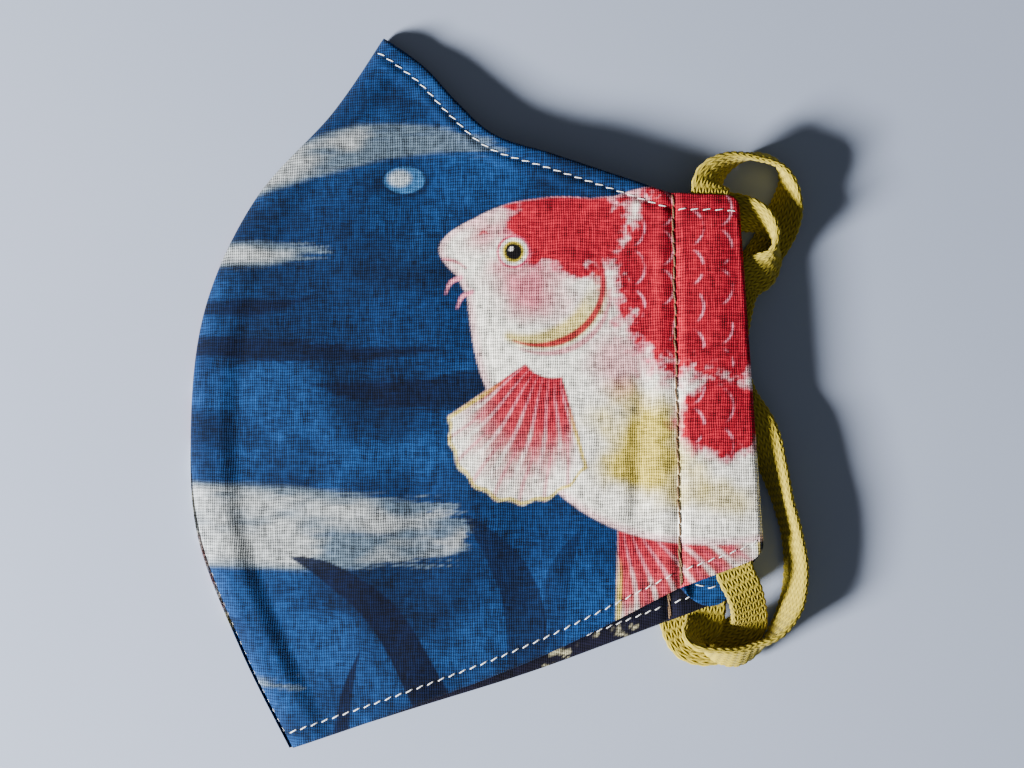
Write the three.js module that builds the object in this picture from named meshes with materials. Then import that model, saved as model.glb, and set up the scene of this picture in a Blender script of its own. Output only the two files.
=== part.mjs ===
// A sewn cloth face mask, folded flat along its curved centre seam and lying on its right half.
// Each half is an outer panel and a lining panel, topstitched along the upper and lower edges.
// Past the lining the outer cloth turns back as a flat channel, and a knitted ribbon runs through
// each channel as the ear loop. Millimetres: X from the centre seam to the ears, Y from chin to
// nose, Z up from the surface that the mask lies on. The origin is under the middle of the mask.
import * as THREE from "three";

// ---- driving dimensions ----
const CLOTH = 0.5; // thickness of one layer of cloth
const GAP = 0.3; // left between touching pieces
const CHANNEL_HEIGHT = 3.1; // outside height of an ear channel with the ribbon in it
const RIBBON_WIDTH = 8;
const RIBBON_THICKNESS = 1.4;
const THREAD_WIDTH = 0.6;
const THREAD_THICKNESS = 0.25;
const STITCH_INSET = 3.4; // from a sewn edge to its topstitching
const LOWER_SHIFT = [-2, -7]; // how the right half's ear side lies out of line with the left half's

const LAYER = CLOTH + GAP;
const PANEL_STACK = 2 * CLOTH + GAP;

// ---- plan of one half: four edges that meet at the chin, the nose and the channel's ends ----
const CHIN = [-37.3, -74.6];
const NOSE = [-19.2, 74.6];
const CHANNEL_TOP = [41.2, 40.2];
const CHANNEL_BOTTOM = [42.3, -41.4];
const CHANNEL_TOP_OUTER = [55.2, 39.6];
const CHANNEL_BOTTOM_OUTER = [59.8, -34.8];

const spline = (...points) => new THREE.SplineCurve(points.map((p) => new THREE.Vector2(...p)));
const CENTRE_SEAM = spline(
  CHIN, [-47.8, -54], [-57.1, -30], [-59.2, -6], [-56.2, 18], [-46, 40.3], [-30, 58.5], NOSE,
);
const CHANNEL_SEAM = spline(CHANNEL_BOTTOM, CHANNEL_TOP);
const UPPER_EDGE = spline(NOSE, [-10.4, 67.8], [-3.4, 60], [4.6, 52.8], [16.5, 48.6], CHANNEL_TOP);
const LOWER_EDGE = spline(CHIN, [-14.8, -66.6], [14, -55.4], CHANNEL_BOTTOM);

// A point of the half's plan: across runs from the centre seam (0) to the channel (1), and up
// from the lower edge (0) to the upper edge (1).
function plan(across, up) {
  const [seam, channel] = [CENTRE_SEAM.getPointAt(up), CHANNEL_SEAM.getPointAt(up)];
  const [lower, upper] = [LOWER_EDGE.getPointAt(across), UPPER_EDGE.getPointAt(across)];
  const corner = (p, share) => new THREE.Vector2(...p).multiplyScalar(-share);
  return seam
    .multiplyScalar(1 - across)
    .addScaledVector(channel, across)
    .addScaledVector(lower, 1 - up)
    .addScaledVector(upper, up)
    .add(corner(CHIN, (1 - across) * (1 - up)))
    .add(corner(NOSE, (1 - across) * up))
    .add(corner(CHANNEL_BOTTOM, across * (1 - up)))
    .add(corner(CHANNEL_TOP, across * up));
}

// ---- how each half lies: the height of its lowest layer, and its shift along X and Y ----
const SEAM_PLANE = PANEL_STACK + GAP / 2; // the fold's own level, between the two halves
const RIGHT_CHANNEL_LEVEL = RIBBON_THICKNESS + 0.4 + CHANNEL_HEIGHT / 2;
const LEFT_CHANNEL_LEVEL = RIGHT_CHANNEL_LEVEL + CHANNEL_HEIGHT + RIBBON_THICKNESS + 0.7;
const RISE_STARTS = 0.62; // share of the way across where the right half leaves the surface
const smooth = (t) => t * t * (3 - 2 * t);

const RIGHT = {
  name: "right",
  stitchedFrom: 0.06, // share across where the left half has risen clear of the threads
  channelLevel: RIGHT_CHANNEL_LEVEL,
  shift: (across) => LOWER_SHIFT.map((way) => way * across ** 1.7),
  lip: 0,
  bottom: (across) =>
    (RIGHT_CHANNEL_LEVEL - PANEL_STACK / 2) *
    smooth(Math.max(0, (across - RISE_STARTS) / (1 - RISE_STARTS))),
};
const LEFT = {
  name: "left",
  stitchedFrom: 0.01,
  channelLevel: LEFT_CHANNEL_LEVEL,
  shift: () => [0, 0],
  lip: 6.5, // how far the channel's under side hangs out of its lower mouth
  bottom: (across) =>
    PANEL_STACK + GAP +
    (LEFT_CHANNEL_LEVEL - PANEL_STACK / 2 - PANEL_STACK - GAP) * (1 - (1 - across) ** 2.2),
};

// ---- shared builders ----
const part = new THREE.Group();
const material = (colour, roughness) =>
  new THREE.MeshStandardMaterial({ color: colour, roughness, metalness: 0 });
const PRINTED_COTTON = material("#1f5f9e", 0.85);
const NAVY_LINING = material("#2b2d42", 0.9);
const OLIVE_KNIT = material("#a8a03c", 0.9);
const WHITE_THREAD = material("#f2f2ee", 0.7);
const BROWN_THREAD = material("#6a4a33", 0.7);

function add(name, geometry, finish) {
  geometry.computeVertexNormals();
  const mesh = new THREE.Mesh(geometry, finish);
  mesh.name = name;
  part.add(mesh);
}

// A unit box or extrusion, each of whose points is moved to where `place` puts it.
function mapped(geometry, place) {
  const position = geometry.getAttribute("position");
  const p = new THREE.Vector3();
  for (let i = 0; i < position.count; i++) {
    place(p.fromBufferAttribute(position, i));
    position.setXYZ(i, p.x, p.y, p.z);
  }
  return geometry;
}

// A layer of one half: `range` is [from, to] across and up, and `lift` its height over the half's lowest face.
function layer(half, { across, up, lift, thickness, steps }) {
  return mapped(new THREE.BoxGeometry(1, 1, 1, steps[0], steps[1], 1), (p) => {
    const a = across[0] + (p.x + 0.5) * (across[1] - across[0]);
    const [from, to] = up(a);
    const flat = plan(a, from + (p.y + 0.5) * (to - from));
    const [dx, dy] = half.shift(a);
    p.set(flat.x + dx, flat.y + dy, half.bottom(a) + lift + (p.z + 0.5) * thickness);
  });
}

// ---- panels ----
const PANEL_STEPS = [14, 14];
const CHANNEL_CLEARANCE = 0.004; // share across left clear beside the channel's seam

function addPanels(half, outerLift, liningLift) {
  const full = { across: [0, 1 - CHANNEL_CLEARANCE], up: () => [0, 1], thickness: CLOTH, steps: PANEL_STEPS };
  add(`${half.name}_outer_panel`, layer(half, { ...full, lift: outerLift }), PRINTED_COTTON);
  add(`${half.name}_lining_panel`, layer(half, { ...full, lift: liningLift }), NAVY_LINING);
}

// ---- threads along the upper and lower edges ----
const SEAM_LENGTH = CENTRE_SEAM.getLength();
const CHANNEL_LENGTH = CHANNEL_SEAM.getLength();

// The shares up a column of the plan that lie `inset` and a thread's width in from its ends.
function threadBand(across, fromTop) {
  const height = SEAM_LENGTH + (CHANNEL_LENGTH - SEAM_LENGTH) * across;
  const [near, far] = [STITCH_INSET / height, (STITCH_INSET + THREAD_WIDTH) / height];
  return fromTop ? [1 - far, 1 - near] : [near, far];
}

function addTopstitching(half) {
  for (const [edge, fromTop] of [["upper", true], ["lower", false]]) {
    const strip = layer(half, {
      across: [half.stitchedFrom, 0.985],
      up: (across) => threadBand(across, fromTop),
      lift: PANEL_STACK + GAP,
      thickness: THREAD_THICKNESS,
      steps: [24, 1],
    });
    add(`${half.name}_${edge}_topstitch`, strip, WHITE_THREAD);
  }
}

// ---- threads of the two centre seams ----
function addCentreSeams() {
  const outer = mapped(new THREE.BoxGeometry(1, 1, 1, 1, 24, 1), (p) => {
    const along = 0.02 + 0.96 * (p.y + 0.5);
    const [at, ahead] = [CENTRE_SEAM.getPointAt(along), CENTRE_SEAM.getTangentAt(along)];
    const out = (1.5 - p.x) * GAP;
    p.set(at.x - ahead.y * out, at.y + ahead.x * out, LAYER + (p.z + 0.5) * CLOTH);
  });
  add("outer_centre_seam_thread", outer, WHITE_THREAD);
  const insideFold = 0.07; // share across where the lining's seam can be reached
  const lining = layer(RIGHT, {
    across: [insideFold, insideFold + 0.006],
    up: () => [0.06, 0.94],
    lift: PANEL_STACK + GAP,
    thickness: THREAD_THICKNESS,
    steps: [1, 24],
  });
  add("lining_centre_seam_thread", lining, WHITE_THREAD);
}

// ---- ear channels: a tube of cloth, pinched flat beside its seam and round at its outer fold ----
const PINCH_OFFSET = 0.8; // the tube starts this far from its seam, so that it can turn about it
const PINCH_HALF = 0.5;
const FLARE = 2.6; // distance over which the pinched side opens to its full height
const CHANNEL_WIDTH = CHANNEL_BOTTOM_OUTER[0] - CHANNEL_BOTTOM[0];
const lerp = THREE.MathUtils.lerp;

function channelSection() {
  const half = CHANNEL_HEIGHT / 2;
  const fold = CHANNEL_WIDTH - half;
  const outside = new THREE.Shape();
  outside.moveTo(PINCH_OFFSET, -PINCH_HALF);
  outside.lineTo(PINCH_OFFSET + FLARE, -half);
  outside.absarc(fold, 0, half, -Math.PI / 2, Math.PI / 2, false);
  outside.lineTo(PINCH_OFFSET + FLARE, half);
  outside.lineTo(PINCH_OFFSET, PINCH_HALF);
  const inner = half - CLOTH;
  const hollow = new THREE.Path();
  hollow.moveTo(PINCH_OFFSET + FLARE, -inner);
  hollow.lineTo(fold, -inner);
  hollow.absarc(fold, 0, inner, -Math.PI / 2, Math.PI / 2, false);
  hollow.lineTo(PINCH_OFFSET + FLARE, inner);
  hollow.lineTo(PINCH_OFFSET + 1, 0);
  outside.holes.push(hollow);
  return outside;
}

// Puts a point given across the channel, above its level and down its length into the frame.
function placeInChannel(half, p, across, over, down) {
  const share = across / CHANNEL_WIDTH;
  const along = (from, to, axis) => lerp(from[axis], to[axis], share);
  const [dx, dy] = half.shift(1);
  const bulge = Math.sin(Math.PI * Math.min(1, share) ** 0.7);
  const hang = over < 0 && down > 0.5 ? half.lip * (down - 0.5) * 2 * bulge : 0;
  p.set(
    lerp(along(CHANNEL_TOP, CHANNEL_TOP_OUTER, 0), along(CHANNEL_BOTTOM, CHANNEL_BOTTOM_OUTER, 0), down) + dx,
    lerp(along(CHANNEL_TOP, CHANNEL_TOP_OUTER, 1), along(CHANNEL_BOTTOM, CHANNEL_BOTTOM_OUTER, 1), down) + dy - hang,
    half.channelLevel + over,
  );
}

function addChannel(half) {
  const tube = new THREE.ExtrudeGeometry(channelSection(), {
    depth: 1, steps: 4, curveSegments: 8, bevelEnabled: false,
  });
  mapped(tube, (p) => placeInChannel(half, p, p.x, p.y, p.z));
  add(`${half.name}_ear_channel`, tube, PRINTED_COTTON);
}

function addChannelThreads(half) {
  const over = CHANNEL_HEIGHT / 2 + GAP;
  const strip = (name, across, down, finish) => {
    const box = mapped(new THREE.BoxGeometry(1, 1, 1, 1, 1, 1), (p) =>
      placeInChannel(
        half, p,
        lerp(across[0], across[1], p.x + 0.5),
        over + (p.z + 0.5) * THREAD_THICKNESS,
        lerp(down[1], down[0], p.y + 0.5),
      ),
    );
    add(`${half.name}_channel_${name}`, box, finish);
  };
  const inset = STITCH_INSET / CHANNEL_LENGTH;
  const wide = THREAD_WIDTH / CHANNEL_LENGTH;
  const seamAt = 1.4;
  strip("seam_stitch", [seamAt, seamAt + THREAD_WIDTH], [0.005, 0.995], BROWN_THREAD);
  strip("upper_stitch", [seamAt + 1, CHANNEL_WIDTH - 1.5], [inset, inset + wide], WHITE_THREAD);
  strip("lower_stitch", [seamAt + 1, CHANNEL_WIDTH - 1.5], [1 - inset - wide, 1 - inset], WHITE_THREAD);
}

// ---- ear loops: the middle of each ribbon, and its turn about that line in degrees ----
// A turn of 0 or 180 lies flat and 90 stands on edge. Each route starts inside the channel at the
// join, leaves by the upper mouth, and comes back to the join by the lower mouth.
const FLOOR = 0.9; // flat on the surface
const BETWEEN = 5.95; // flat between the two channels
const LEFT_ROUTE = [
  [49.6, 14, 8.55, 0], [49.4, 26, 8.55, 0], [49.3, 37.6, 8.55, 0], [49.4, 41.8, 8.4, 3],
  [50.4, 44.4, 7.1, 45], [54.2, 47.4, 5.4, 78], [59.2, 48.6, 4.8, 108], [63.7, 47.2, 4.6, 106],
  [65.9, 43.2, 4.4, 75], [65.9, 38.4, 3.2, 40], [64.4, 33.8, 1.3, 8], [62.2, 29.8, 0.9, 0],
  [59, 25.4, FLOOR, 0], [55.6, 20.6, FLOOR, 0], [52.6, 14, FLOOR, 0], [50, 4, FLOOR, 0],
  [48.4, -10, FLOOR, 0], [46.6, -24, FLOOR, 0], [44.8, -36, FLOOR, 0], [43.2, -44, FLOOR, 0],
  [42.8, -49, FLOOR, 0], [44.8, -52.8, FLOOR, 0], [48.4, -53.8, FLOOR, 0], [52.8, -52.4, 1, 0],
  [56.8, -49.6, 2.8, 10], [56.8, -45.8, 6, 14], [55.6, -42, 8.4, 5], [53.8, -38, 8.55, 0],
  [52.4, -28, 8.55, 0], [51.2, -14, 8.55, 0], [50.1, 4.6, 8.55, 0],
];
const RIGHT_ROUTE = [
  [47.6, 8, 3.35, 0], [47.4, 18, 3.35, 0], [47.2, 29, 3.35, 0], [48.4, 34.4, 3.5, 2],
  [51.4, 36.8, 4.4, 12], [55.8, 36.6, 5.2, 25], [60.2, 35, 5.8, 55], [62.8, 31.6, 6.1, 85],
  [62.8, 27.6, 6, 112], [60.2, 24.4, 5.7, 160], [56.2, 21.6, 5.8, 178], [54, 15, BETWEEN, 180],
  [53.4, 6, BETWEEN, 180], [54.8, -1.6, BETWEEN, 180], [59, -8.6, 6.1, 187], [61.9, -15.6, 5.2, 228],
  [64.3, -23.5, 4.6, 250], [66.2, -30.8, 4.5, 250], [66.9, -38, 4.4, 240], [65.8, -45, 4.4, 238],
  [62.6, -50.6, 4.6, 258], [58.4, -54, 5, 288], [54.2, -55.6, 6, 300], [50.2, -55, 6.2, 290],
  [46.4, -53, 5.7, 256], [46, -51.6, 4.5, 212], [47.9, -48.6, 3.4, 183], [48.6, -40, 3.35, 180],
  [48.8, -28, 3.35, 180], [48.6, -14, 3.35, 180], [48, -1.4, 3.35, 180],
];
const RIBBON_STEPS = 84;

// A flat ribbon swept along a route, with its ends square.
function ribbon(route) {
  const line = new THREE.CatmullRomCurve3(route.map(([x, y, z]) => new THREE.Vector3(x, y, z)), false, "centripetal");
  const turns = new THREE.CatmullRomCurve3(route.map((r) => new THREE.Vector3(r[3], 0, 0)), false, "catmullrom", 0.3);
  const up = new THREE.Vector3(0, 0, 1);
  return mapped(new THREE.BoxGeometry(1, 1, 1, 1, 1, RIBBON_STEPS), (p) => {
    const t = p.z + 0.5;
    const [at, ahead] = [line.getPoint(t), line.getTangent(t)];
    const turn = THREE.MathUtils.degToRad(turns.getPoint(t).x);
    const side = up.clone().cross(ahead).normalize();
    const over = ahead.clone().cross(side);
    const across = side.clone().multiplyScalar(Math.cos(turn)).addScaledVector(over, Math.sin(turn));
    const through = over.multiplyScalar(Math.cos(turn)).addScaledVector(side, -Math.sin(turn));
    const [wide, thick] = [p.x * RIBBON_WIDTH, p.y * RIBBON_THICKNESS];
    p.copy(at).addScaledVector(across, wide).addScaledVector(through, thick);
  });
}

// The sewn butt joint between a ribbon's two ends, inside its channel.
function addEarLoop(half, route) {
  add(`${half.name}_ear_loop`, ribbon(route), OLIVE_KNIT);
  const [start, end] = [route[0], route[route.length - 1]];
  const length = Math.abs(start[1] - end[1]) - 3 * GAP;
  const join = new THREE.BoxGeometry(RIBBON_WIDTH, length, RIBBON_THICKNESS);
  join.translate((start[0] + end[0]) / 2, (start[1] + end[1]) / 2, half.channelLevel);
  add(`${half.name}_loop_join`, join, OLIVE_KNIT);
}

addPanels(RIGHT, 0, LAYER);
addPanels(LEFT, LAYER, 0);
for (const [half, route] of [[RIGHT, RIGHT_ROUTE], [LEFT, LEFT_ROUTE]]) {
  addTopstitching(half);
  addChannel(half);
  addChannelThreads(half);
  addEarLoop(half, route);
}
addCentreSeams();

export default part;
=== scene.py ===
"""A sewn cloth face mask, folded flat along its curved centre seam, on a pale floor.

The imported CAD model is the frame: +X runs from the centre seam to the ears, +Y from chin to nose
and +Z up. Shapes are worked out in millimetres and turned into metres when a mesh is made. On a
half, a is the share of the way across it, from the centre seam to the ear channel, and u is the
share of the way up it.
"""

import math

import bpy
import numpy as np
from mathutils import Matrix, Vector


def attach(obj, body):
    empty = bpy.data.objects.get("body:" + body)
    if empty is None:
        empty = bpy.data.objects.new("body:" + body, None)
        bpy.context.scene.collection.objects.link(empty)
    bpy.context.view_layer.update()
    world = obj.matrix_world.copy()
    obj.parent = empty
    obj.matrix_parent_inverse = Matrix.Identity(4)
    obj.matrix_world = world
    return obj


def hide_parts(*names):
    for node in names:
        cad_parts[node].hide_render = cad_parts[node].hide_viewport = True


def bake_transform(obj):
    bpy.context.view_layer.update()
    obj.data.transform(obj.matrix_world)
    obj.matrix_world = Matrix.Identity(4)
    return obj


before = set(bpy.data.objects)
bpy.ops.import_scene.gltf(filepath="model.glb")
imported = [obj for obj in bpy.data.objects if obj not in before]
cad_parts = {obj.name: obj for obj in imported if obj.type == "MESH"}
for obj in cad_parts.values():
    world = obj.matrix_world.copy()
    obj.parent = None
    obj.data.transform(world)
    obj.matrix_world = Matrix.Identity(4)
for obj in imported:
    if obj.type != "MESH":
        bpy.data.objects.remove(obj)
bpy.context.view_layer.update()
MM = 0.001

# ---- camera and lights

VIEW_CENTRE = (8.1, 0.8, 4)
VIEW_ELEVATION = 86
VIEW_DISTANCE = 400
VIEW_WIDTH = 213.6  # across the picture at the object's height
SENSOR = 36
LIGHT_DISTANCE = 900
WORLD_STRENGTH = 0.1


def toward(azimuth, elevation, distance):
    """The point, in metres, at that angle and distance from the middle of the view."""
    a, e = math.radians(azimuth), math.radians(elevation)
    way = Vector((-math.sin(a) * math.cos(e), -math.cos(a) * math.cos(e), math.sin(e)))
    return (Vector(VIEW_CENTRE) + way * distance) * MM


def aimed(data, name, at):
    """A camera or light at a place, turned to the middle of the view."""
    obj = bpy.data.objects.new(name, data)
    bpy.context.scene.collection.objects.link(obj)
    obj.location = at
    ahead = Vector(VIEW_CENTRE) * MM - obj.location
    obj.rotation_euler = ahead.to_track_quat("-Z", "Y").to_euler()
    return obj


def area_light(name, azimuth, elevation, size, watts, colour):
    data = bpy.data.lights.new(name, "AREA")
    data.size = size
    data.energy = watts
    data.color = colour
    aimed(data, name, toward(azimuth, elevation, LIGHT_DISTANCE))


lens = bpy.data.cameras.new("camera")
lens.sensor_width = SENSOR
lens.lens = SENSOR * VIEW_DISTANCE / VIEW_WIDTH
lens.clip_start = 0.01
bpy.context.scene.camera = aimed(lens, "camera", toward(0, VIEW_ELEVATION, VIEW_DISTANCE))
area_light("key_light", 62, 25, 0.22, 41, (1.0, 0.98, 0.95))
area_light("fill_light", -30, 65, 0.9, 0.5, (0.9, 0.95, 1.0))

world = bpy.data.worlds.new("studio")
bpy.context.scene.world = world
world.use_nodes = True
background = world.node_tree.nodes["Background"]
background.inputs["Color"].default_value = (0.86, 0.91, 1.0, 1)
background.inputs["Strength"].default_value = WORLD_STRENGTH

# ---- sizes shared with the CAD model

CLOTH = 0.5
GAP = 0.3  # between two layers
CHANNEL_HEIGHT = 3.1
RIBBON_WIDTH = 8
RIBBON_THICKNESS = 1.4
STITCH_INSET = 3.4  # from an edge to its topstitching
STACK = 2 * CLOTH + GAP  # one half's outer cloth and lining
SEAM_PLANE = STACK + GAP / 2  # the height at which the halves meet
RIGHT_LEVEL = 3.35  # the height of each channel's middle
LEFT_LEVEL = 8.55

CHIN = (-37.3, -74.6)
NOSE = (-19.2, 74.6)
CHANNEL_TOP = (41.2, 40.2)
CHANNEL_BOTTOM = (42.3, -41.4)
CHANNEL_TOP_OUTER = (55.2, 39.6)
CHANNEL_BOTTOM_OUTER = (59.8, -34.8)
CHANNEL_WIDTH = CHANNEL_BOTTOM_OUTER[0] - CHANNEL_BOTTOM[0]


def smooth(t):
    t = np.clip(t, 0, 1)
    return t * t * (3 - 2 * t)


def ramp(value, low, high):
    """0 at low, 1 at high, smooth between them and level outside."""
    return smooth((value - low) / (high - low))


def bell(value, width):
    return np.exp(-((value / width) ** 2))


def hermite(p, q, v, w, t):
    """The way from p, left at speed v, to q, reached at speed w, at shares t of it."""
    return (2 * p - 2 * q + v + w) * t**3 + (-3 * p + 3 * q - 2 * v - w) * t**2 + v * t + p


def spline(points, samples=600):
    """A smooth line through the points, sampled at equal steps from point to point."""
    p = np.array(points, float)
    ends = np.vstack([p[:1], p, p[-1:]])
    t = np.linspace(0, len(p) - 1, samples)
    i = np.minimum(t.astype(int), len(p) - 2)
    w = (t - i)[:, None]
    p0, p1, p2, p3 = (ends[i + k] for k in range(4))
    return hermite(p1, p2, (p2 - p0) / 2, (p3 - p1) / 2, w)


class Line:
    """A sampled line that can be read at any share of its length."""

    def __init__(self, points):
        self.points = np.asarray(points, float)
        steps = np.linalg.norm(np.diff(self.points, axis=0), axis=1)
        self.along = np.concatenate([[0], np.cumsum(steps)])
        self.length = self.along[-1]

    def at(self, share):
        s = np.asarray(share) * self.length
        return np.stack([np.interp(s, self.along, c) for c in self.points.T], -1)


CENTRE_SEAM = Line(spline([
    CHIN, (-47.8, -54), (-57.1, -30), (-59.2, -6), (-56.2, 18), (-46, 40.3), (-30, 58.5), NOSE,
]))
CHANNEL_SEAM = Line([CHANNEL_BOTTOM, CHANNEL_TOP])
UPPER_EDGE = Line(spline([
    NOSE, (-10.4, 67.8), (-3.4, 60), (4.6, 52.8), (16.5, 48.6), CHANNEL_TOP,
]))
LOWER_EDGE = Line(spline([CHIN, (-14.8, -66.6), (14, -55.4), CHANNEL_BOTTOM]))
ACROSS = 101  # from the centre seam to the channel, about


def plan(a, u):
    """X and Y of a point of a half; past the channel's seam, it goes straight on along X."""
    inside = np.minimum(a, 1)
    a3, u3 = inside[..., None], u[..., None]
    corners = (
        np.array(CHIN) * (1 - a3) * (1 - u3) + np.array(NOSE) * (1 - a3) * u3
        + np.array(CHANNEL_BOTTOM) * a3 * (1 - u3) + np.array(CHANNEL_TOP) * a3 * u3
    )
    sides = CENTRE_SEAM.at(u) * (1 - a3) + CHANNEL_SEAM.at(u) * a3
    xy = sides + LOWER_EDGE.at(inside) * (1 - u3) + UPPER_EDGE.at(inside) * u3 - corners
    xy[..., 0] += (a - inside) * ACROSS
    return xy


def column_height(a):
    return CENTRE_SEAM.length + (CHANNEL_SEAM.length - CENTRE_SEAM.length) * a


def right_middle(a):
    """The height of the middle of the right half's two layers."""
    return STACK / 2 + (RIGHT_LEVEL - STACK / 2) * smooth((a - 0.62) / 0.38)


def left_middle(a):
    """The height of the middle of the left half's two layers."""
    low = STACK * 1.5 + GAP
    return low + (LEFT_LEVEL - low) * (1 - np.clip(1 - a, 0, 1) ** 2.2)


class Half:
    """One half of the mask: how its ear side is shifted in plan, how far the lower lip of its
    channel hangs, its channel's height, and the share across where its topstitching starts."""

    def __init__(self, name, middle, shift, lip, level, stitched_from):
        self.name = name
        self.middle = middle
        self.shift = np.array(shift, float)
        self.lip = lip
        self.level = level
        self.stitched_from = stitched_from


RIGHT = Half("right", right_middle, (-2, -7), 0, RIGHT_LEVEL, 0.06)
LEFT = Half("left", left_middle, (0, 0), 6.5, LEFT_LEVEL, 0.01)

# ---- noise


CELLS = 128  # after which the noise repeats


def lattice(x, y, seed):
    """Smooth noise from 0 to 1, with one cell per unit."""
    table = np.random.default_rng(seed).random((CELLS, CELLS))
    i, j = np.floor(x).astype(int), np.floor(y).astype(int)
    fx, fy = smooth(x - i), smooth(y - j)
    i0, i1, j0, j1 = i % CELLS, (i + 1) % CELLS, j % CELLS, (j + 1) % CELLS
    low = table[i0, j0] * (1 - fx) + table[i1, j0] * fx
    high = table[i0, j1] * (1 - fx) + table[i1, j1] * fx
    return low * (1 - fy) + high * fy


def cloudy(x, y, seed, octaves=4):
    """Several sizes of noise together, from 0 to 1."""
    total, weight = 0, 0
    for k in range(octaves):
        total = total + lattice(x * 2**k, y * 2**k, seed + k) / 2**k
        weight += 1 / 2**k
    return total / weight


# ---- meshes


def make_mesh(name, verts, faces, uv, material, colours=None, depth=None):
    """An object from points in millimetres, with cloth coordinates and values for each point."""
    me = bpy.data.meshes.new(name)
    me.from_pydata((np.asarray(verts) * MM).tolist(), [], [tuple(f) for f in faces])
    me.update()
    me.polygons.foreach_set("use_smooth", np.ones(len(me.polygons), bool))
    corner = np.zeros(len(me.loops), np.int32)
    me.loops.foreach_get("vertex_index", corner)
    corners = np.asarray(uv)[corner].astype(np.float32)
    me.uv_layers.new(name="Cloth").data.foreach_set("uv", corners.ravel())
    if colours is not None:
        rgba = np.concatenate([colours, np.ones((len(colours), 1))], 1).astype(np.float32)
        printing = me.color_attributes.new("Print", "FLOAT_COLOR", "POINT")
        printing.data.foreach_set("color", rgba.ravel())
    if depth is not None:
        values = np.ravel(depth).astype(np.float32)
        me.attributes.new("Depth", "FLOAT", "POINT").data.foreach_set("value", values)
    me.materials.append(material)
    obj = bpy.data.objects.new(name, me)
    bpy.context.scene.collection.objects.link(obj)
    return obj


def grid_faces(columns, rows, start=0, flip=False):
    """Quads over a grid of points stored column by column."""
    i, j = np.meshgrid(np.arange(columns - 1), np.arange(rows - 1), indexing="ij")
    k = start + i * rows + j
    quads = np.stack([k, k + rows, k + rows + 1, k + 1], -1).reshape(-1, 4)
    return quads[:, ::-1] if flip else quads


def shell(upper, lower):
    """A closed sheet from two grids of points, one above the other."""
    columns, rows = upper.shape[:2]
    count = columns * rows
    grid = np.arange(count).reshape(columns, rows)
    ring = np.concatenate([grid[:, 0], grid[-1, 1:], grid[-2::-1, -1], grid[0, -2:0:-1]])
    ahead = np.roll(ring, -1)
    sides = np.stack([ahead, ahead + count, ring + count, ring], -1)
    top, bottom = grid_faces(columns, rows), grid_faces(columns, rows, count, flip=True)
    points = np.concatenate([upper.reshape(-1, 3), lower.reshape(-1, 3)])
    return points, np.concatenate([top, bottom, sides])


def tube(rings):
    """A closed tube from rings of points, with a cap on each end."""
    steps, around = rings.shape[:2]
    i, j = np.meshgrid(np.arange(steps - 1), np.arange(around), indexing="ij")
    here, turn = i * around, (j + 1) % around
    ahead = here + around
    quads = np.stack([here + j, here + turn, ahead + turn, ahead + j], -1).reshape(-1, 4)
    caps = [tuple(range(around))[::-1], tuple(range((steps - 1) * around, steps * around))]
    return rings.reshape(-1, 3), [tuple(q) for q in quads] + caps


# ---- materials


def linear(rgb):
    """A colour of 0 to 255 as light values."""
    c = np.array(rgb, float) / 255
    return np.where(c <= 0.04045, c / 12.92, ((c + 0.055) / 1.055) ** 2.4)


def solid(rgb):
    """The same with an alpha of 1, for a socket."""
    return (*linear(rgb), 1.0)


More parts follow.
